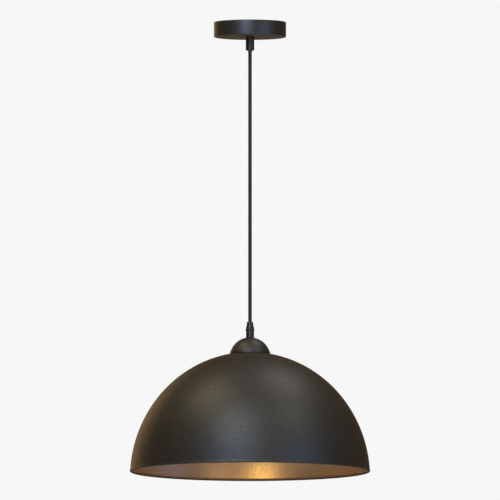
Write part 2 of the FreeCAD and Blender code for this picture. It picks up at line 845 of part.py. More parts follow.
def make_holder_cover():
    """Domed cover with a shoulder at its foot, screwed over the skirt."""
    bore = s.thread_radius + s.thread_clearance
    top = s.cover_top - s.cover_bottom
    outer, crown = s.cover_radius, s.cover_crown
    inner = s.skirt_radius + 0.05
    turned(
        "lampholder_cover",
        [
            (bore, top),
            (outer - 9, top),
            (outer - 3, top - 3.6),
            (outer, top - 9.6),
            (outer, s.shoulder_height),
            (s.shoulder_radius, s.shoulder_height),
            (s.shoulder_radius, 0),
            (inner, 0),
            (inner, top - 11.6),
            (inner - 2.6, top - 7.1),
            (inner - 9.6, top - crown),
            (bore, top - crown),
        ],
        s.cover_bottom,
    )


def make_carrier(bottom):
    """Ceramic disc that holds the contacts, with a rivet hole and two holes for the wires."""
    radius = s.skirt_radius - s.skirt_wall - 0.1
    disc = solid("Cylinder", "carrier_disc", (0, 0, bottom), Radius=radius, Height=s.carrier_height)
    rivet_hole = {"Radius": s.rivet_radius + 0.05, "Height": s.rivet_depth}
    tools = [solid("Cylinder", "carrier_rivet_hole", (0, 0, bottom), **rivet_hole)]
    wire_hole = {"Radius": s.core_radius + 0.2, "Height": s.contact_hole_depth}
    for side in (-1, 1):
        at = (s.contact_place * side, 0, s.carrier_top - s.contact_hole_depth)
        tools.append(solid("Cylinder", "carrier_wire_hole", at, **wire_hole))
    keep("lampholder_carrier", cut("lampholder_carrier", disc, *tools))


def make_contacts(carrier_bottom):
    """Centre contact with its rivet, side contact beside the shell, and the earth tab."""
    leaf, contact_bottom = s.centre_contact_leaf, s.bulb_tip + 0.1
    rivet = carrier_bottom + s.rivet_depth - 0.1 - contact_bottom
    wide, thin = s.centre_contact_radius, s.rivet_radius
    outline = [(0, 0), (wide, 0), (wide, leaf), (thin, leaf), (thin, rivet), (0, rivet)]
    turned("centre_contact", outline, contact_bottom)

    width, high = s.side_contact_width, s.side_contact_height
    at = (s.shell_radius + 0.05, width * -0.5, carrier_bottom - high)
    strip = {"Length": s.side_contact_thickness, "Width": width, "Height": high}
    keep("side_contact", solid("Box", "side_contact_strip", at, **strip))

    thick, half = s.earth_tab_thickness, s.earth_tab_half
    bottom = s.lower_nipple_bottom - thick
    ring = solid("Cylinder", "tab_ring", (0, 0, bottom), Radius=s.earth_tab_radius, Height=thick)
    hole = solid("Cylinder", "tab_hole", (0, 0, bottom), Radius=s.nipple_bore, Height=thick)
    at = (-half, s.earth_tab_reach - half, bottom)
    ear = solid("Box", "tab_ear", at, Length=half * 2, Width=7.0, Height=thick)
    keep("earth_tab", cut("earth_tab", fuse("earth_tab", ring, ear), hole))


def make_shade_ring():
    """Ring on the skirt's thread whose flange carries the shade."""
    high, inner = s.ring_height, s.skirt_radius + 0.05
    under_flange = high - s.ring_flange_height
    turned(
        "shade_ring",
        [
            (inner, 0),
            (s.ring_grip, 0),
            (s.ring_grip, under_flange),
            (s.ring_flange, under_flange),
            (s.ring_flange, high),
            (inner, high),
        ],
        s.ring_top - high,
    )


# ---- bulb -------------------------------------------------------------------------------------------


def glass_side(radius, neck, curve, top):
    """One side of the glass from its neck to its lowest point: line, hollow arc, then the globe's arc."""
    centre = s.bulb_centre.value
    across = neck + curve
    rise = math.sqrt((radius + curve) ** 2 - across**2)
    joint = Vector(across, 0, rise) * (radius / (radius + curve))
    bend_centre = Vector(across, 0, centre + rise)
    half_way = (Vector(-1, 0, 0) + (joint - Vector(across, 0, rise)).normalize()).normalize()
    straight = Part.LineSegment(Vector(neck, 0, top), Vector(neck, 0, centre + rise))
    hollow = Part.Arc(
        Vector(neck, 0, centre + rise), bend_centre + half_way * curve, joint + Vector(0, 0, centre)
    )
    globe = Part.Arc(
        joint + Vector(0, 0, centre), Vector(radius, 0, centre), Vector(0, 0, centre - radius)
    )
    return [straight.toShape(), hollow.toShape(), globe.toShape()]


def make_bulb():
    """Clear pear-shaped bulb on an E27 cap, with a glass stem, four filaments and their wires."""
    cap_bottom = s.bulb_cap_top - s.bulb_cap_length
    stem_bottom = cap_bottom + 0.7 - s.stem_length
    make_bulb_glass(cap_bottom.value + 1.5)
    make_bulb_cap(cap_bottom)
    stem, flare, high = s.stem_radius, s.stem_flare, s.stem_length
    outline = [(0, 0), (stem, 0), (stem, 18), (stem + 1.5, 23), (flare, 26.4), (flare, high), (0, high)]
    turned("bulb_stem", outline, stem_bottom)
    width, thick = s.driver_width, s.driver_thickness
    board_at = (width * -0.5, thick * -0.5, cap_bottom + 3)
    board = solid("Box", "driver_board", board_at, Length=width, Width=thick, Height=width)
    size = {"Radius": s.capacitor_radius, "Height": s.capacitor_length}
    capacitor = solid("Cylinder", "driver_capacitor", (2.2, 3.2, cap_bottom + 5), **size)
    keep("bulb_driver", group("bulb_driver", board, capacitor))
    make_filaments(stem_bottom)


def make_bulb_glass(top):
    """The blown glass, open at its neck."""
    wall, radius, neck = s.bulb_wall.value, s.bulb_radius.value, s.bulb_neck.value
    curve, foot = s.neck_curve.value, s.bulb_centre.value - s.bulb_radius.value
    outside = glass_side(radius, neck, curve, top)
    inside = glass_side(radius - wall, neck - wall, curve + wall, top)
    lip = Part.LineSegment(Vector(neck, 0, top), Vector(neck - wall, 0, top)).toShape()
    tip = Part.LineSegment(Vector(0, 0, foot), Vector(0, 0, foot + wall)).toShape()
    outline = Part.Wire(Part.__sortEdges__([*outside, tip, *inside, lip]))
    glass = doc.addObject("Part::Feature", "bulb_glass")
    glass.Shape = Part.Face(outline).revolve(Vector(), Vector(0, 0, 1), 360)
    keep("bulb_glass", glass)


def make_bulb_cap(bottom):
    """Screw cap, its glass insulator and the contact at its tip."""
    outer, thin, high = s.bulb_cap_radius, length(0.3), s.bulb_cap_length
    turned(
        "bulb_cap",
        [
            (outer - thin, 0),
            (outer, 0),
            (outer, high - 1.5),
            (outer - 4, high + 1),
            (outer - 4.3, high + 0.7),
            (outer - thin, high - 1.8),
        ],
        bottom,
    )
    wide, tip, tall = outer - 4.4, s.bulb_contact_radius, s.insulator_height
    insulator = [(0, 0), (wide, 0), (wide, 2), (tip + 0.4, tall), (0, tall)]
    turned("bulb_insulator", insulator, s.bulb_cap_top - 0.9)
    high = s.bulb_contact_height
    turned("bulb_contact", [(0, 0), (tip, 0), (tip - 1, high), (0, high)], s.bulb_tip - high)


def make_filaments(stem_bottom):
    """Four upright filaments round a centre wire, held by a spoke at each end."""
    bottom = s.filament_top - s.filament_length
    drop = stem_bottom - bottom + 1
    centre = solid("Cylinder", "wire_centre", (0, 0, bottom - 1), Radius=s.wire_radius, Height=drop)
    size = {"Radius": s.filament_radius, "Height": s.filament_length}
    filaments = []
    upper = []
    lower = [centre]
    for step in range(4):
        turn = 45 + 90 * step
        x, y = (s.filament_ring * part for part in direction(turn))
        filaments.append(solid("Cylinder", f"filament_{step}", (x, y, bottom), **size))
        upper.append(spoke(f"spoke_upper_{step}", turn, s.stem_radius + 0.05, s.filament_top + 0.4))
        lower.append(spoke(f"spoke_lower_{step}", turn, length(0), bottom - 0.4))
    wires = [*upper, fuse("lower_wires", *lower)]
    keep("bulb_filaments", group("bulb_filaments", *filaments))
    keep("bulb_wires", group("bulb_wires", *wires))


def direction(turn):
    """The X and Y of a level direction, in degrees from +X."""
    return math.cos(math.radians(turn)), math.sin(math.radians(turn))


def spoke(name, turn, start, z):
    """A level wire at height z that runs outwards from the radius start to the filaments' ring."""
    wire = doc.addObject("Part::Cylinder", name)
    level = FreeCAD.Rotation(Vector(0, 1, 0), 90)
    wire.Placement = FreeCAD.Placement(Vector(), FreeCAD.Rotation(Vector(0, 0, 1), turn) * level)
    bind(wire, "Radius", s.wire_radius)
    bind(wire, "Height", s.filament_ring - start)
    x, y = (start * part for part in direction(turn))
    return place(wire, x, y, z)


# ---- build, check and write -------------------------------------------------------------------------


def check_and_write():
    """Stops on any failed object, then writes each sub-part to parts/NAME.step."""
    doc.recompute()
    for thing in doc.Objects:
        wrong = [word for word in ("Invalid", "Error") if word in thing.State]
        if wrong:
            raise RuntimeError(f"{thing.Name} is {wrong}")
    os.makedirs("parts", exist_ok=True)
    for label, thing in parts.items():
        if thing.Shape.isNull() or not thing.Shape.isValid():
            raise RuntimeError(f"{label} has no valid shape")
        thing.Shape.exportStep(f"parts/{label}.step")
        print(f"{label}: {thing.Shape.Volume:.1f} mm3, {len(thing.Shape.Solids)} solid(s)")


make_bracket()
make_top_fixings()
make_canopy()
make_upper_grip()
make_terminal_block()
make_earth_point()
make_cable()
make_upper_cores()
make_lower_cores()
make_lower_grip()
make_cap()
make_shade()
make_lampholder()
make_bulb()
check_and_write()
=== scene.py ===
"""Looks of the pendant ceiling light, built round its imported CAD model.

Metres, +Z up, origin on the ceiling plane on the cable's axis. The light hangs down -Z. Turned
pieces are lathed from outlines of (radius, height) points in millimetres. Where pieces start and
end is read from the CAD nodes, and the other sizes are the CAD model's own.
"""

import json
import math

import bmesh
import bpy
from mathutils import Matrix, Vector


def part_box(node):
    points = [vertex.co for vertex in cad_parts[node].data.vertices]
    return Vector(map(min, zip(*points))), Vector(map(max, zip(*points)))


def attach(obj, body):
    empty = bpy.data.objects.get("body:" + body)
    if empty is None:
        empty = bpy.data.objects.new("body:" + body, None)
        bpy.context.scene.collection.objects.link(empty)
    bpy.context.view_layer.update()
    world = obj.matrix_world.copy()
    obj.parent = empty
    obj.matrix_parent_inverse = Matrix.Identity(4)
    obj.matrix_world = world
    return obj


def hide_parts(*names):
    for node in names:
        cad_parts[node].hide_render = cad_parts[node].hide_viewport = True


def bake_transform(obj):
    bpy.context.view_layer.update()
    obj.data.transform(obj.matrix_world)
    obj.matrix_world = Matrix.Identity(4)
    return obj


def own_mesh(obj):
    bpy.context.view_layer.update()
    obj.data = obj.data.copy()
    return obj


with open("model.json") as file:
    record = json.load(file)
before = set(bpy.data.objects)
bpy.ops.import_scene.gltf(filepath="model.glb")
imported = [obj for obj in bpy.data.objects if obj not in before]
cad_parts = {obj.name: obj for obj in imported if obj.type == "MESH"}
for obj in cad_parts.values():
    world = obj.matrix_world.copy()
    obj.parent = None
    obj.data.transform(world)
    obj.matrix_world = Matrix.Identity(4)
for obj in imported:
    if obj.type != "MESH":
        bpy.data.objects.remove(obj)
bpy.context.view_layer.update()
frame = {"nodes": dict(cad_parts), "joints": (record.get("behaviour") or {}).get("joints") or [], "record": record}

MM = 0.001
TURN = 2 * math.pi


def heights(node):
    """The CAD node's lowest and highest z, in millimetres."""
    low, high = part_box(node)
    return low.z / MM, high.z / MM


def reach_of(node):
    """How far the CAD node reaches along +X, in millimetres."""
    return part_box(node)[1].x / MM


# heights and radii of the CAD nodes, in millimetres
CANOPY_FLOOR = heights("canopy")[0]
CANOPY_RADIUS = -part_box("canopy")[0].x / MM
GRIP_FOOT = heights("upper_grip_body")[0]
CLAMP_FOOT, CLAMP_TOP = heights("clamp_nut")
CAP_FOOT, CAP_TOP = heights("cap")
RIM, SHADE_TOP = heights("shade")
SKIRT_FOOT, SKIRT_TOP = heights("lampholder_skirt")
RING_FOOT, RING_TOP = heights("shade_ring")
CORD = reach_of("cable_run")
ROD = 5.0  # of the M10 nipples

# heights of the joints, which the cable bends and turns about
PIVOT = {joint["name"]: joint.get("pos_m", (0, 0, 0))[2] / MM for joint in frame["joints"]}

# points round a thread or a nut, rows of points in one turn of a thread, and the bulb's pitch
THREAD_SEGMENTS = 96
THREAD_ROWS = 10
E27_PITCH = 3.63

# edges sharper than this many degrees stay sharp, unless a piece says otherwise
SHARP = 40.0


# ---- outlines and meshes --------------------------------------------------------------------


def arc(middle, radius, start, end, steps):
    """Points on a circle about (radius, height) middle, from start to end in degrees."""
    angles = [math.radians(start + (end - start) * step / steps) for step in range(steps + 1)]
    return [(middle[0] + radius * math.cos(a), middle[1] + radius * math.sin(a)) for a in angles]


def rounded(corners, radius, closed=True):
    """The outline with its corners rounded; an open outline keeps its two ends."""
    points = []
    count, steps = len(corners), 4
    for place, corner in enumerate(corners):
        here = Vector(corner)
        if not closed and place in (0, count - 1):
            points.append(tuple(here))
            continue
        back = Vector(corners[place - 1]) - here
        ahead = Vector(corners[(place + 1) % count]) - here
        half = back.angle(ahead) / 2
        reach = min(radius / max(math.tan(half), 0.01), 0.45 * back.length, 0.45 * ahead.length)
        first = here + back.normalized() * reach
        last = here + ahead.normalized() * reach
        for step in range(steps + 1):
            share = step / steps
            bent = first * (1 - share) ** 2 + here * (2 * share * (1 - share)) + last * share**2
            points.append(tuple(bent))
    return points


def finished(bm, name, sharp=SHARP):
    """The mesh as an object: coinciding points joined, faces outwards, smooth up to an angle."""
    bmesh.ops.remove_doubles(bm, verts=bm.verts, dist=1e-6)
    bmesh.ops.recalc_face_normals(bm, faces=bm.faces)
    mesh = bpy.data.meshes.new(name)
    bm.to_mesh(mesh)
    bm.free()
    mesh.shade_smooth()
    mesh.set_sharp_from_angle(angle=math.radians(sharp))
    piece = bpy.data.objects.new(name, mesh)
    bpy.context.scene.collection.objects.link(piece)
    return piece


def skin(bm, rings, closed, band=0):
    """Quads between rings of points; closed joins the last ring to the first."""
    made = [[bm.verts.new(point) for point in ring] for ring in rings]
    pairs = list(zip(made, made[1:]))
    if closed:
        pairs.append((made[-1], made[0]))
    for lower, upper in pairs:
        for step in range(len(lower)):
            following = (step + 1) % len(lower)
            corners = (lower[step], lower[following], upper[following], upper[step])
            bm.faces.new(corners).material_index = band


def ring_points(radius, height, segments=THREAD_SEGMENTS, at=(0, 0)):
    """One ring about a vertical axis through at; radius is a number or a function of the angle."""
    points = []
    for step in range(segments):
        angle = TURN * step / segments
        reach = radius(angle) if callable(radius) else radius
        x = (at[0] + reach * math.cos(angle)) * MM
        y = (at[1] + reach * math.sin(angle)) * MM
        points.append((x, y, height * MM))
    return points


def wrapped(name, rings, closed=True, sharp=SHARP):
    """A piece made of quads between rings of points."""
    bm = bmesh.new()
    skin(bm, rings, closed)
    return finished(bm, name, sharp)


def lathe(name, outline, segments=128, closed=True, at=(0, 0), sharp=SHARP):
    """A piece turned about a vertical axis through at."""
    return wrapped(name, [ring_points(r, z, segments, at) for r, z in outline], closed, sharp)


def thread_rings(outer, depth, pitch, low, high, round_top=True):
    """Rings of an outside thread: a helix of that depth, fading out at both ends."""
    rings = []
    fading = pitch * 0.6
    count = max(2, round((high - low) / pitch * THREAD_ROWS))
    for row in range(count + 1):
        z = low + (high - low) * row / count
        fade = min(1.0, (z - low) / fading, (high - z) / fading)

        def reach(angle, z=z, fade=fade):
            phase = (z / pitch - angle / TURN) % 1.0
            wave = 0.5 + 0.5 * math.cos(TURN * phase) if round_top else abs(2 * phase - 1)
            return outer - depth * (1 - wave * fade)

        rings.append(ring_points(reach, z))
    return rings


def threaded(name, outer, depth, pitch, bore, low, high, round_top=False):
    """A tube with an outside thread."""
    lead = 0.02
    thread = thread_rings(outer, depth, pitch, low + lead, high - lead, round_top)
    rings = [ring_points(bore, low), *thread, ring_points(bore, high)]
    return wrapped(name, rings, sharp=50.0)


def hex_nuts(name, bore, *spans):
    """Hexagon nuts on the axis, one for each (low, high): chamfered corners, countersunk bore."""
    corner, sink, inset = 8.08, 0.4, 0.1
    flat = corner * math.cos(math.pi / 6)
    chamfer = (corner - flat) * 0.58
    shares = (0.0, 0.34, 0.67, 1.0)

    def hexagon(share):
        """The hexagon's radius by angle, its corners cut to a circle that grows with share."""
        limit = flat - inset + (corner - flat + inset) * share

        def reach(angle):
            inside = (angle % (math.pi / 3)) - math.pi / 6
            return min(flat / math.cos(inside), limit)

        return reach

    bm = bmesh.new()
    for low, high in spans:
        rings = [ring_points(bore, low + sink), ring_points(bore + sink, low)]
        rings += [ring_points(hexagon(share), low + chamfer * share) for share in shares]
        rings += [ring_points(hexagon(share), high - chamfer * share) for share in shares[::-1]]
        rings += [ring_points(bore + sink, high), ring_points(bore, high - sink)]
        skin(bm, rings, True)
    return finished(bm, name, 30.0)


def carved(piece, middle, size, turn):
    """The piece less a block at middle, turned about the vertical, with the cut's edges sharp."""
    bm = bmesh.new()
    bmesh.ops.create_cube(bm, size=1.0)
    shape = Matrix.Translation(Vector(middle) * MM) @ Matrix.Rotation(turn, 4, "Z")
    shape = shape @ Matrix.Diagonal((*(Vector(size) * MM), 1.0))
    bmesh.ops.transform(bm, matrix=shape, verts=bm.verts)
    cutter = finished(bm, "cutter")
    change = piece.modifiers.new("cut", "BOOLEAN")
    change.object = cutter
    change.operation = "DIFFERENCE"
    change.solver = "EXACT"
    shown = piece.evaluated_get(bpy.context.evaluated_depsgraph_get())
    mesh = bpy.data.meshes.new_from_object(shown)
    piece.modifiers.clear()
    piece.data = mesh
    mesh.shade_smooth()
    mesh.set_sharp_from_angle(angle=math.radians(35.0))
    bpy.data.objects.remove(cutter)
    return piece


def slotted_screw(name, at, low, seat, shank, head, tall, slot, turn=0.0):
    """A screw on a vertical axis through at: chamfered tip at low, slotted head on seat."""
    top = seat + tall
    chamfer, edge = 0.35, 0.15
    outline = [(0, low), (shank - chamfer, low), (shank, low + chamfer), (shank, seat)]
    outline += [(head - edge, seat), (head, seat + edge)]
    outline += [(head, top - tall * 0.4), (head - 0.12, top - tall * 0.2)]
    outline += [(head - 0.4, top - 0.04), (head * 0.5, top), (0, top)]
    return carved(lathe(name, outline, 64, False, at), (*at, top), (3 * head, slot, tall), turn)


def joined(name, pieces):
    """Several objects as one, keeping their meshes and materials."""
    first = pieces[0]
    with bpy.context.temp_override(
        active_object=first,
        object=first,
        selected_objects=pieces,
        selected_editable_objects=pieces,
    ):
        bpy.ops.object.join()
    first.name = name
    first.data.name = name
    return first


# ---- materials ------------------------------------------------------------------------------


class Finish:
    """One material: a Principled shader with its noises, bumps and colour mixes."""

    def __init__(self, name, **values):
        self.material = bpy.data.materials.new(name)
        self.material.use_nodes = True
        self.tree = self.material.node_tree
        self.link = self.tree.links.new
        self.shader = self.tree.nodes["Principled BSDF"]
        self.bumped = None
        for word, value in values.items():
            self.shader.inputs[word.replace("_", " ")].default_value = value

    def add(self, kind, **values):
        """A node, with its properties and sockets set by name."""
        node = self.tree.nodes.new(kind)
        for word, value in values.items():
            if hasattr(node, word):
                setattr(node, word, value)
            else:
                node.inputs[word].default_value = value
        return node

    def noise(self, size, detail, stretch=(1, 1, 1), roughness=0.5):
        """Noise from 0 to 1 with grains of about that size in millimetres."""
        node = self.add("ShaderNodeTexNoise", Detail=detail, Roughness=roughness, Scale=1.0)
        scale = self.add("ShaderNodeVectorMath", operation="MULTIPLY")
        scale.inputs[1].default_value = [part / (size * MM) for part in stretch]
        self.link(self.add("ShaderNodeTexCoord").outputs["Object"], scale.inputs[0])
        self.link(scale.outputs[0], node.inputs["Vector"])
        return node.outputs["Fac"]

    def spread(self, value, low, high, start=0.3, end=0.7):
        """The value's range start..end carried to low..high."""
        node = self.add("ShaderNodeMapRange")
        ends = {"From Min": start, "From Max": end, "To Min": low, "To Max": high}
        for word, number in ends.items():
            node.inputs[word].default_value = number
        self.link(value, node.inputs["Value"])
        return node.outputs["Result"]

    def rough(self, value, low, high):
        """The roughness runs from low to high with the value."""
        self.link(self.spread(value, low, high), self.shader.inputs["Roughness"])

    def colours(self, value, first, second, start=0.3, end=0.7):
        """The base colour runs from first to second with the value."""
        mix = self.add("ShaderNodeMix", data_type="RGBA")
        mix.inputs["A"].default_value = (*first, 1)
        mix.inputs["B"].default_value = (*second, 1)
        self.link(self.spread(value, 0, 1, start, end), mix.inputs["Factor"])
        self.link(mix.outputs["Result"], self.shader.inputs["Base Color"])

    def bump(self, value, height):
        """Raises the surface by the value times height in millimetres."""
        node = self.add("ShaderNodeBump", Distance=height * MM, Strength=1.0)
        self.link(value, node.inputs["Height"])
        if self.bumped is not None:
            self.link(self.bumped, node.inputs["Normal"])
        self.bumped = node.outputs["Normal"]
        self.link(self.bumped, self.shader.inputs["Normal"])


def powder_coat(name, dark, light, low, high, texture):
    """Powder coat: fine grains and a texture of that height over a slow orange peel."""
    made = Finish(name, Specular_IOR_Level=0.5)
    made.colours(made.noise(1.9, 1.0), dark, light)
    made.rough(made.noise(2.1, 1.0), low, high)
    made.bump(made.noise(6.0, 1.0), 0.04)
    made.bump(made.noise(1.7, 1.0), texture)
    made.bump(made.noise(0.8, 3.0), 0.05)
    return made.material


def plastic(name, dark, light, low, high, grain=0.6, height=0.006, ior=1.5):
    """Moulded or extruded plastic with a faint eroded texture."""
    made = Finish(name, IOR=ior)
    made.colours(made.noise(4.0, 3.0), dark, light)
    made.rough(made.noise(2.0, 3.0), low, high)
    made.bump(made.noise(grain, 2.0), height)
    return made.material


def metal(name, dark, light, low, high, stretch=(1, 1, 1)):
    """Bare or plated metal with drawn or turned marks, long where the stretch is small."""
    made = Finish(name, Metallic=1.0)
    marks = made.noise(0.5, 4.0, stretch, 0.65)
    made.colours(made.noise(5.0, 4.0), dark, light)
    made.rough(marks, low, high)
    made.bump(marks, 0.008)
    return made.material


def gold_paint():
    """Warm metallic paint of the shade's inside: fine flakes, satin."""
    made = Finish("gold_paint", Metallic=0.85)
    made.colours(made.noise(1.4, 3.0), (0.52, 0.395, 0.32), (0.59, 0.455, 0.37))
    made.rough(made.noise(2.4, 2.0), 0.34, 0.44)
    made.bump(made.noise(7.0, 1.0), 0.03)
    made.bump(made.noise(2.4, 2.0), 0.06)
    made.bump(made.noise(0.9, 2.0), 0.03)
    return made.material


def striped_earth():
    """Green sheath with two yellow stripes along the wire, set by which way the surface faces."""
    made = Finish("core_pvc_green_yellow", IOR=1.5)
    facing = made.add("ShaderNodeVectorMath", operation="DOT_PRODUCT")
    facing.inputs[1].default_value = Vector((0.55, -0.62, 0.56)).normalized()
    made.link(made.add("ShaderNodeNewGeometry").outputs["Normal"], facing.inputs[0])
    size = made.add("ShaderNodeMath", operation="ABSOLUTE")
    made.link(facing.outputs["Value"], size.inputs[0])
    made.colours(size.outputs[0], (0.02, 0.24, 0.05), (0.80, 0.64, 0.05), 0.55, 0.60)
    made.rough(made.noise(2.0, 3.0), 0.30, 0.42)
    made.bump(made.noise(0.35, 2.0), 0.01)
    return made.material


def clear_glass():
    """The bulb's glass, very slightly tinted."""
    made = Finish("bulb_glass_clear", Transmission_Weight=1.0, IOR=1.45, Roughness=0.01)
    made.colours(made.noise(30.0, 1.0), (0.98, 0.99, 0.985), (1.0, 1.0, 1.0))
    return made.material


def grey(level):
    """A colour without a hue."""
    return level, level, level


def make_materials():
    """Materials by slot. Each has a dark and a light colour, and its least and most roughness."""
    return {
        "shade_black": powder_coat(
            "shade_black_coat", (0.005, 0.0047, 0.0044), (0.018, 0.0168, 0.0155), 0.40, 0.54, 0.24
        ),
        "gold_interior": gold_paint(),
        "canopy_black": powder_coat(
            "canopy_black_coat", grey(0.006), grey(0.015), 0.36, 0.48, 0.10
        ),
        "black_plastic": plastic(
            "black_nylon", (0.009, 0.008, 0.0075), (0.014, 0.012, 0.0115), 0.30, 0.38, ior=1.47
        ),
        "cable_sheath": plastic(
            "cable_pvc", (0.012, 0.011, 0.015), (0.018, 0.017, 0.022), 0.46, 0.56, ior=1.33
        ),
        "grip_rubber": plastic("grip_rubber_black", grey(0.015), grey(0.022), 0.6, 0.75),
        "holder_black": plastic("holder_resin", grey(0.014), grey(0.022), 0.28, 0.40, grain=0.5),
        "white_plastic": plastic(
            "white_moulding", (0.70, 0.68, 0.63), (0.80, 0.78, 0.74), 0.38, 0.50
        ),
        "zinc_steel": metal(
            "zinc_plated", (0.54, 0.57, 0.60), (0.68, 0.70, 0.72), 0.24, 0.42, (0.12, 1, 1)
        ),
        "brass": metal("brass_turned", (0.62, 0.43, 0.17), (0.76, 0.56, 0.26), 0.20, 0.36),
        "tinned_copper": metal("tin_plate", (0.62, 0.61, 0.58), (0.74, 0.73, 0.70), 0.20, 0.34),
        "nickel": metal("nickel_plate", (0.58, 0.56, 0.53), (0.70, 0.68, 0.64), 0.14, 0.30),
        "core_brown": plastic(
            "core_pvc_brown", (0.11, 0.045, 0.02), (0.16, 0.07, 0.03), 0.30, 0.42
        ),
        "core_blue": plastic("core_pvc_blue", (0.02, 0.09, 0.36), (0.03, 0.13, 0.46), 0.30, 0.42),
        "core_green_yellow": striped_earth(),
        "bulb_glass": clear_glass(),
        "black_glass": plastic(
            "insulator_glass", (0.010, 0.010, 0.012), (0.016, 0.016, 0.020), 0.06, 0.14, grain=1.2
        ),
        "driver_board": plastic(
            "driver_green", (0.02, 0.13, 0.05), (0.04, 0.20, 0.08), 0.35, 0.5
        ),
        "filament_yellow": plastic(
            "filament_phosphor", (0.72, 0.50, 0.10), (0.86, 0.64, 0.18), 0.45, 0.6, 0.4, 0.03
        ),
    }


materials = make_materials()


def dress(piece, body, slot, *nodes):
    """Gives a new piece its slot's material unless it has one, puts it on its body, and hides the CAD nodes it
    stands for.
    """
    if not piece.data.materials:
        piece.data.materials.append(materials[slot])
    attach(piece, body)
    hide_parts(*nodes)


# ---- ceiling fixture ------------------------------------------------------------------------


def make_canopy():
    """Drawn steel cup: soft lower corner, thin folded top edge, hole for the nipple."""
    wall, hole, corner, fold, fillet = 1.0, 5.2, 1.6, 0.5, 0.9
    # rows of points that divide the plain faces
    outer_row, inner_row, floor_row = -12.0, -6.0, 30.0
    inner = CANOPY_RADIUS - wall
    floor = CANOPY_FLOOR + wall
    outline = [(hole, CANOPY_FLOOR), (CANOPY_RADIUS - corner, CANOPY_FLOOR)]
    outline += arc((CANOPY_RADIUS - corner, CANOPY_FLOOR + corner), corner, -90, 0, 10)
    outline += [(CANOPY_RADIUS, outer_row), (CANOPY_RADIUS, -fold)]
    outline += arc((CANOPY_RADIUS - fold, -fold), fold, 0, 180, 8)
    outline += [(inner, inner_row), (inner, floor + fillet)]
    outline += arc((inner - fillet, floor + fillet), fillet, 0, -90, 6)
    outline += [(floor_row, floor), (hole, floor)]
    dress(lathe("canopy_cup", outline, 192), "ceiling_fixture", "canopy_black", "canopy")


def make_upper_grip():
    """Sleeve under the canopy with a small collar for the cable, and its slotted side screw."""
    outer, passage, long, socket = 7.1, 3.2, 22.0, 9.0
    collar_foot, collar_waist, collar_top = 3.7, 4.1, 4.4
    bevel, soft = 0.3, 0.2
    foot = CANOPY_FLOOR - long
    waist = (collar_waist, foot - 0.7)
    outline = [(passage, GRIP_FOOT + soft), (passage + soft, GRIP_FOOT)]
    outline += [(collar_foot, GRIP_FOOT), waist]
    outline += rounded(
        [
            waist,
            (collar_top, foot),
            (outer - bevel, foot),
            (outer, foot + 0.8),
            (outer, CANOPY_FLOOR - 0.15),
            (outer - bevel, CANOPY_FLOOR),
            (ROD, CANOPY_FLOOR),
            (ROD, foot + socket),
            (passage, foot + socket),
        ],
        0.25,
        closed=False,
    )
    dress(
        lathe("upper_grip_sleeve", outline), "ceiling_fixture", "black_plastic", "upper_grip_body"
    )

    low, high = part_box("upper_grip_screw")
    radius, tall, slot = high.x / MM, 0.8, 0.6
    tip, seat = low.y / MM, high.y / MM - tall
    screw = slotted_screw(
        "upper_grip_screw_slotted", (0, 0), tip, seat, radius, radius, tall, slot
    )
    middle = Matrix.Translation((0, 0, (low.z + high.z) / 2))
    screw.data.transform(middle @ Matrix.Rotation(math.radians(-90), 4, "X"))
    dress(screw, "ceiling_fixture", "black_plastic", "upper_grip_screw")


def make_fixings():
    """Threaded nipples, their chamfered nuts, and the slotted screws under the canopy."""
    bore, depth, pitch = 3.5, 0.5, 1.0
    for body, node in (("ceiling_fixture", "upper_nipple"), ("pendant", "lower_nipple")):
        nipple = threaded(node + "_threaded", ROD, depth, pitch, bore, *heights(node))
        dress(nipple, body, "zinc_steel", node)

    low, high = heights("upper_nipple_nuts")
    cap_low, cap_high = heights("cap_nut")
    tall = cap_high - cap_low
    nuts = hex_nuts("upper_nuts_hexagon", ROD, (low, low + tall), (high - tall, high))
    dress(nuts, "ceiling_fixture", "zinc_steel", "upper_nipple_nuts")
    nut = hex_nuts("cap_nut_hexagon", ROD, (cap_low, cap_high))
    dress(nut, "pendant", "zinc_steel", "cap_nut")

    for node, name, metal_slot, shank, head, tall, slot, turn in (
        ("earth_screw", "earth_screw_slotted", "brass", 2.0, 4.0, 2.2, 1.0, 0.5),
        ("terminal_block_screw", "block_screw_slotted", "zinc_steel", 1.2, 2.2, 1.4, 0.6, 1.1),
    ):
        low, high = (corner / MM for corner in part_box(node))
        at = ((low + high) / 2)[:2]
        screw = slotted_screw(name, at, low.z, high.z - tall, shank, head, tall, slot, turn)
        dress(screw, "ceiling_fixture", metal_slot, node)

    low, high = (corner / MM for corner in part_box("terminal_screws"))
    radius, tall, slot = 1.5, 1.0, 0.5
    screws = []
    for x in (low.x + radius, high.x - radius):
        for y in (low.y + radius, high.y - radius):
            turn = 0.3 + 0.7 * len(screws)
            name = f"wire_screw_{len(screws)}"
            seat = high.z - tall
            screw = slotted_screw(name, (x, y), low.z, seat, radius, radius, tall, slot, turn)
            screws.append(screw)
    screws = joined("terminal_screws_slotted", screws)
    dress(screws, "ceiling_fixture", "zinc_steel", "terminal_screws")


# ---- cable ----------------------------------------------------------------------------------


def length_of_cable(name, high, low, rows):
    """A round length whose rings are close enough together to bend."""
    outline = [(CORD, high + (low - high) * row / rows) for row in range(rows + 1)]
    piece = lathe(name, [(0.0, high), *outline, (0.0, low)], 48, False)
    piece.data.materials.append(materials["cable_sheath"])
    return piece


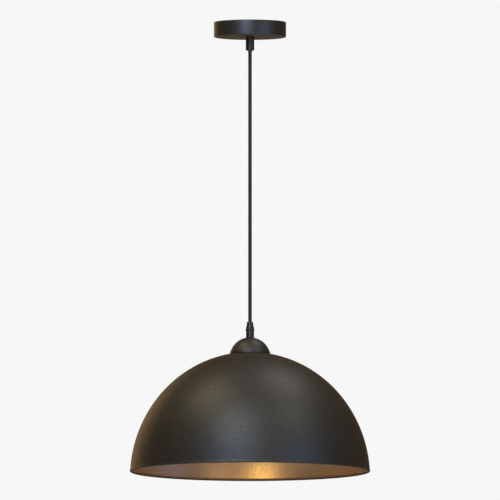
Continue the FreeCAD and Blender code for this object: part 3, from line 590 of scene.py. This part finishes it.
def make_cable():
    """One round cable in lengths meeting end to end; two of them ride moving bodies."""
    top, foot = heights("cable_tail")[1], heights("cable_end")[0]
    slide, twist = heights("cable_lower_length")[1], PIVOT["shade_turn"]
    bend, second, low_bend = PIVOT["swing_side"], PIVOT["swing_front"], PIVOT["shade_tilt"]
    half_bend = (bend - second) / 2
    first_end = bend - half_bend
    second_end = second - half_bend
    # a gap too small to see, so that the sliding ends don't touch as the pendant swings
    clear = 0.05

    tail = length_of_cable("cable_through_grip", top, first_end, 60)
    second_length = length_of_cable("cable_second_bend", first_end, second_end, 24)
    run = length_of_cable("cable_hanging_run", second_end, slide + clear, 160)
    lower = length_of_cable("cable_lower_part", slide, twist, 8)
    foot_length = length_of_cable("cable_into_lower_grip", twist, foot, 80)

    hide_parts("cable_tail", "cable_top_bend")
    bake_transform(tail)
    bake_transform(second_length)
    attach(run, "cable_hang")
    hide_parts("cable_run")
    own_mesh(run)
    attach(lower, "cable_set")
    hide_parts("cable_lower_length")
    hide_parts("cable_bottom_bend", "cable_end")
    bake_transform(foot_length)
    hanging_line(second_end, slide)


def hanging_line(high, low):
    """The points of a smooth curve straight down the axis."""
    steps = 4
    data = bpy.data.curves.new("cable_line", "CURVE")
    data.dimensions = "3D"
    spline = data.splines.new("NURBS")
    spline.points.add(steps)
    for step, point in enumerate(spline.points):
        point.co = (0, 0, (high + (low - high) * step / steps) * MM, 1)
    spline.order_u = 3
    spline.use_endpoint_u = True
    line = bpy.data.objects.new("cable_line", data)
    mesh = bpy.data.meshes.new_from_object(line)
    points = [tuple(vertex.co) for vertex in mesh.vertices]
    bpy.data.objects.remove(line)
    return points


# ---- pendant --------------------------------------------------------------------------------


def make_lower_grip():
    """Clamp nut that tapers to the cable, over a sleeve with a ring."""
    passage, base, mouth = 3.2, 6.65, 4.7
    tall = CLAMP_TOP - CLAMP_FOOT
    taper = ((base, 0.12), (base - 0.35, 0.25), (base - 1.0, 0.5), (mouth + 0.6, 0.78))
    cone = [(passage, CLAMP_FOOT), (base, CLAMP_FOOT)]
    cone += [(radius, CLAMP_FOOT + tall * share) for radius, share in taper]
    cone += [(mouth, CLAMP_TOP), (passage, CLAMP_TOP)]
    nut = lathe("clamp_nut_cone", rounded(cone, 0.5))
    dress(nut, "pendant", "black_plastic", "clamp_nut")

    ring, sleeve = 7.3, 6.7
    under = CLAMP_FOOT - 3.0
    outline = [(passage, CAP_TOP), (sleeve, CAP_TOP), (sleeve, under)]
    outline += [(ring, under), (ring, CLAMP_FOOT), (passage, CLAMP_FOOT)]
    grip = lathe("lower_grip_sleeve", rounded(outline, 0.35))
    dress(grip, "pendant", "black_plastic", "lower_grip_body")


def make_cap():
    """Half-ball cap: flat seat for the grip, soft shoulder, short upright hem at its foot."""
    radius, seat, wall, hem = 34.2, 33.55, 0.8, 2.4
    middle = CAP_TOP - seat
    foot = math.sqrt(radius**2 - (CAP_FOOT - middle) ** 2)
    hole = ROD + 0.1

    def dome(reach, low, high, steps):
        """Points of a ball from one height up to another."""
        start = math.degrees(math.asin((low - middle) / reach))
        end = math.degrees(math.asin((high - middle) / reach))
        return arc((0, middle), reach, start, end, steps)

    outer = [(foot - 0.45, CAP_FOOT), (foot - 0.1, CAP_FOOT + 0.15)]
    outer += [(foot, CAP_FOOT + 0.5), (foot, CAP_FOOT + hem * 0.5)]
    outer += [(foot - 0.1, CAP_FOOT + hem), (foot - 0.42, CAP_FOOT + hem * 1.6)]
    outer += dome(radius, CAP_FOOT + hem * 2.4, CAP_TOP - 0.35, 40)
    outer += [(6.6, CAP_TOP - 0.06), (6.0, CAP_TOP), (hole, CAP_TOP)]
    inner = dome(radius - wall, CAP_FOOT + 0.1, CAP_TOP - wall - 0.3, 30)
    inner += [(5.8, CAP_TOP - wall), (hole, CAP_TOP - wall)]
    dress(lathe("cap_shell", outer + inner[::-1], 160), "pendant", "shade_black", "cap")


def make_shade():
    """Spun dome with its edge rolled into a bead: black skin outside, gold skin inside."""
    # the dome is part of an ellipse whose middle is a little under the rim
    wide, sink, wall, hole = 199.86, 10.6, 0.8, 20.4
    middle = RIM - sink
    rise = (SHADE_TOP - middle) / math.sqrt(1 - (hole / wide) ** 2)
    bead_ring, bead = 198.1, 1.9
    bead_height = RIM + bead
    segments, rows = 256, 90

    def side(reach, tall, low):
        """An ellipse's points from the height low up to the hole."""
        start = math.asin((low - middle) / tall)
        end = math.acos(hole / reach)
        angles = [start + (end - start) * step / rows for step in range(rows + 1)]
        return [(reach * math.cos(a), middle + tall * math.sin(a)) for a in angles]

    outside = arc((bead_ring, bead_height), bead, -190, 25, 24)
    outside += side(wide, rise, bead_height + bead * 0.85)
    inside = side(wide - wall, rise - wall, bead_height + bead + 0.4)[::-1]
    inside += arc((bead_ring, bead_height), bead, 148, 170, 4)
    bm = bmesh.new()
    for band, outline in enumerate((outside, [outside[-1], *inside])):
        skin(bm, [ring_points(r, z, segments) for r, z in outline], False, band)
    shade = finished(bm, "dome_shade", 50.0)
    shade.data.materials.append(materials["shade_black"])
    shade.data.materials.append(materials["gold_interior"])
    dress(shade, "pendant", "shade_black", "shade")


def make_lampholder():
    """Skirt with its outside thread, ribbed shade ring and rolled screw shell."""
    outer, wall, depth, pitch = 19.6, 1.7, 0.5, 2.5
    inner = outer - wall
    split = SKIRT_FOOT + 20.0
    name = "lampholder_skirt_threaded"
    upper = threaded(name, outer, depth, pitch, inner, split, SKIRT_TOP, True)
    plain = [(inner, SKIRT_FOOT), (outer, SKIRT_FOOT), (outer, split), (inner, split)]
    skirt = joined(name, [upper, lathe("skirt_lower", rounded(plain, 0.5))])
    dress(skirt, "pendant", "holder_black", "lampholder_skirt")

    grip, flange, bore = 23.5, 27.0, 19.65
    ribs, rib, segments = 36, 0.5, 360
    edge = RING_TOP - 3.0

    def ribbed(angle):
        return grip - rib * (0.5 - 0.5 * math.cos(ribs * angle)) ** 2

    under = [(bore, RING_FOOT), (grip - 1.1, RING_FOOT), (grip - 0.8, RING_FOOT + 0.25)]
    sides = [(ribbed, z) for z in (RING_FOOT + 0.9, RING_FOOT + 2.5, edge - 0.3)]
    over = [(grip, edge), (flange, edge), (flange, RING_TOP), (bore, RING_TOP)]
    over = rounded(over, 0.5, closed=False)
    rings = [ring_points(r, z, segments) for r, z in [*under, *sides, *over]]
    dress(wrapped("shade_ring_ribbed", rings), "pendant", "holder_black", "shade_ring")

    depth, sheet = 0.45, 0.4
    shell = reach_of("screw_shell")
    low, high = heights("screw_shell")
    outside = thread_rings(shell, depth, E27_PITCH, low, high)
    inside = thread_rings(shell - sheet, depth, E27_PITCH, low, high)[::-1]
    dress(wrapped("screw_shell_rolled", outside + inside), "pendant", "nickel", "screw_shell")


# ---- bulb -----------------------------------------------------------------------------------


def make_bulb():
    """Clear pear-shaped bulb: double-walled glass and screwed cap."""
    radius, neck, curve, wall = 30.0, 12.4, 40.0, 0.8
    low, top = heights("bulb_glass")
    middle = low + radius

    def side(reach, slim, bend):
        """Points of the glass from its lowest point up the globe and the neck."""
        across = slim + bend
        lift = math.sqrt((reach + bend) ** 2 - across**2)
        joint = math.degrees(math.atan2(lift, across))
        globe = arc((0, middle), reach, -90, joint, 48)
        hollow = arc((across, middle + lift), bend, 180 + joint, 180, 20)
        return globe + hollow[1:] + [(slim, top)]

    outline = side(radius, neck, curve) + side(radius - wall, neck - wall, curve + wall)[::-1]
    globe = lathe("bulb_globe", outline, 96, False, sharp=60.0)
    dress(globe, "bulb", "bulb_glass", "bulb_glass")

    depth, shoulder = 0.9, 2.6
    outer = reach_of("bulb_cap")
    low, high = heights("bulb_cap")
    below = [(outer - 0.5, low + 0.3), (outer - 0.3, low)]
    above = [(outer - 1.3, high - 1.9), (outer - 4.0, high), (outer - 4.3, high - 0.2)]
    above.append((outer - 1.6, high - shoulder))
    rings = [ring_points(r, z) for r, z in below]
    rings += thread_rings(outer, depth, E27_PITCH, low + 0.6, high - shoulder)
    rings += [ring_points(r, z) for r, z in above]
    dress(wrapped("bulb_cap_screwed", rings), "bulb", "nickel", "bulb_cap")


def make_bulb_inside():
    """Glass stem flared at its top, and four coated filaments with metal ends."""
    low, high = heights("bulb_stem")
    stem, flare, nose = 3.0, reach_of("bulb_stem"), 1.2
    outline = arc((0, low + nose), nose, -90, -30, 5)[:-1]
    outline += [(1.6, low + 1.6), (2.6, low + 4.0), (stem, low + 6.5), (stem, low + 14.0)]
    outline += [(stem + 0.3, low + 18.0), (stem + 1.5, low + 22.0)]
    outline += [(6.6, low + 24.6), (9.2, low + 26.0)]
    outline += [(flare, high - 0.8), (flare, high), (flare - 1.0, high - 0.1)]
    outline += [(6.2, low + 25.6), (3.4, low + 22.6), (2.0, low + 17.0)]
    outline += [(1.2, low + 14.6), (0, low + 14.2)]
    piece = lathe("bulb_stem_flared", outline, 64, False, sharp=70.0)
    dress(piece, "bulb", "bulb_glass", "bulb_stem")

    low, high = heights("bulb_filaments")
    reach = 9.0 * math.sqrt(0.5)
    rod, wire, end, lap = 0.9, 0.55, 1.6, 0.1
    coat = [(0, low + end), (rod, low + end), (rod, high - end), (0, high - end)]
    parts = []
    for x in (-reach, reach):
        for y in (-reach, reach):
            at = (x, y)
            bar = lathe("filament_bar", rounded(coat, 0.4, closed=False), 24, False, at)
            bar.data.materials.append(materials["filament_yellow"])
            parts.append(bar)
            for foot, head in ((low, low + end + lap), (high - end - lap, high)):
                outline = [(0, foot), (wire, foot), (wire, head), (0, head)]
                tip = lathe("filament_end", outline, 16, False, at)
                tip.data.materials.append(materials["nickel"])
                parts.append(tip)
    bars = joined("bulb_filament_bars", parts)
    dress(bars, "bulb", "filament_yellow", "bulb_filaments")


# ---- CAD nodes that stay --------------------------------------------------------------------


def dress_cad_nodes():
    """The CAD nodes that still show get their materials, and a fine bevel where they have edges."""
    slots = {row["node"]: row["material_slot"] for row in frame["record"]["subparts"]}
    edges = {
        "ceiling_bracket": 0.35,
        "terminal_block": 0.3,
        "earth_lug": 0.12,
        "upper_nipple_washers": 0.12,
        "lampholder_cover": 0.4,
        "lampholder_carrier": 0.3,
        "earth_tab": 0.1,
        "side_contact": 0.1,
    }
    for name, node in frame["nodes"].items():
        if node.hide_render:
            continue
        node.data.materials.clear()
        node.data.materials.append(materials[slots[name]])
        if name in edges:
            bevel = node.modifiers.new("edges", "BEVEL")
            bevel.width = edges[name] * MM
            bevel.segments = 2
            bevel.limit_method = "ANGLE"
            bevel.angle_limit = math.radians(35)


# ---- stage ----------------------------------------------------------------------------------


def softbox(name, azimuth, elevation, width, height, glow, colour):
    """A soft light aimed at the object: azimuth 0 is on the camera's side, 90 on its right."""
    target, distance = Vector((0, 0, -0.45)), 3.0
    data = bpy.data.lights.new(name, "AREA")
    data.shape = "RECTANGLE"
    data.size, data.size_y = width, height
    data.energy = glow * width * height
    data.color = colour
    light = bpy.data.objects.new(name, data)
    turn, lift = math.radians(azimuth), math.radians(elevation)
    across = math.cos(lift)
    away = Vector((math.sin(turn) * across, -math.cos(turn) * across, math.sin(lift)))
    light.location = target + away * distance
    light.rotation_euler = away.to_track_quat("Z", "Y").to_euler()
    light.visible_camera = False
    bpy.context.scene.collection.objects.link(light)


def make_surround():
    """A plain pale surround for the camera, and a faint warm glow for the object."""
    world = bpy.data.worlds.new("surround")
    bpy.context.scene.world = world
    world.use_nodes = True
    nodes, link = world.node_tree.nodes, world.node_tree.links.new
    seen = nodes["Background"]
    seen.inputs["Color"].default_value = (0.93, 0.93, 0.93, 1)
    glow = nodes.new("ShaderNodeBackground")
    glow.inputs["Color"].default_value = (1.0, 0.60, 0.24, 1)
    glow.inputs["Strength"].default_value = 0.165
    path = nodes.new("ShaderNodeLightPath")
    mix = nodes.new("ShaderNodeMixShader")
    link(path.outputs["Is Camera Ray"], mix.inputs[0])
    link(glow.outputs[0], mix.inputs[1])
    link(seen.outputs[0], mix.inputs[2])
    link(mix.outputs[0], nodes["World Output"].inputs["Surface"])


def make_floor():
    """A pale floor well below the hanging light, glowing faintly like that of a bright room."""
    reach, depth, glow = 6.0, 3.6, 0.39
    bm = bmesh.new()
    bmesh.ops.create_grid(bm, x_segments=1, y_segments=1, size=reach)
    floor = finished(bm, "pale_floor")
    floor.location.z = -depth
    paint = plastic("pale_floor", (0.76, 0.83, 0.95), (0.79, 0.86, 0.98), 0.7, 0.8, 2.0)
    lit = paint.node_tree.nodes["Principled BSDF"].inputs
    lit["Emission Color"].default_value = (1.0, 0.98, 0.88, 1)
    lit["Emission Strength"].default_value = glow
    floor.data.materials.append(paint)


def make_lights():
    """Soft boxes: azimuth, elevation, width and height in metres, glow, colour."""
    softbox("window_high", -18, 42, 1.5, 1.0, 21, (1.0, 0.98, 0.98))
    softbox("window_middle", -12, 25, 1.2, 0.8, 21, (0.78, 0.92, 1.0))
    softbox("window_low", -14, 7, 1.2, 0.7, 26, (0.05, 0.42, 1.0))
    softbox("window_sill", -12, -12, 0.9, 0.7, 35, (1.0, 0.68, 0.20))
    softbox("right_high", 56, 42, 1.3, 1.0, 11.5, (1.0, 1.0, 0.84))
    softbox("right_low", 48, 7, 1.4, 0.8, 17, (0.29, 0.58, 1.0))
    softbox("right_sill", 30, -10, 0.9, 0.6, 10, (1.0, 0.70, 0.36))
    softbox("right_foot", 85, -14, 1.2, 0.8, 2.2, (0.1, 0.4, 1.0))
    softbox("over_left", -82, 60, 1.3, 1.2, 17, (1.0, 0.85, 0.50))
    softbox("over_right", 112, 66, 1.3, 1.2, 13, (1.0, 0.96, 0.92))
    softbox("back_left", -150, 8, 1.4, 1.8, 3.3, (1.0, 0.65, 0.32))


def make_camera():
    """A camera with parallel lines that looks up a little, from below the rim."""
    data = bpy.data.cameras.new("camera")
    data.type = "ORTHO"
    data.ortho_scale = 0.8316
    camera = bpy.data.objects.new("camera", data)
    upward, aim, distance = math.radians(4.5), Vector((0, 0, -0.380)), 3.0
    look = Vector((0, math.cos(upward), math.sin(upward)))
    camera.location = aim - look * distance
    camera.rotation_euler = (-look).to_track_quat("Z", "Y").to_euler()
    bpy.context.scene.collection.objects.link(camera)
    bpy.context.scene.camera = camera
    bpy.context.scene.view_settings.view_transform = "Standard"


make_camera()
make_cable()
make_canopy()
make_upper_grip()
make_lower_grip()
make_cap()
make_shade()
make_lampholder()
make_bulb()
make_bulb_inside()
make_fixings()
dress_cad_nodes()
make_surround()
make_floor()
make_lights()
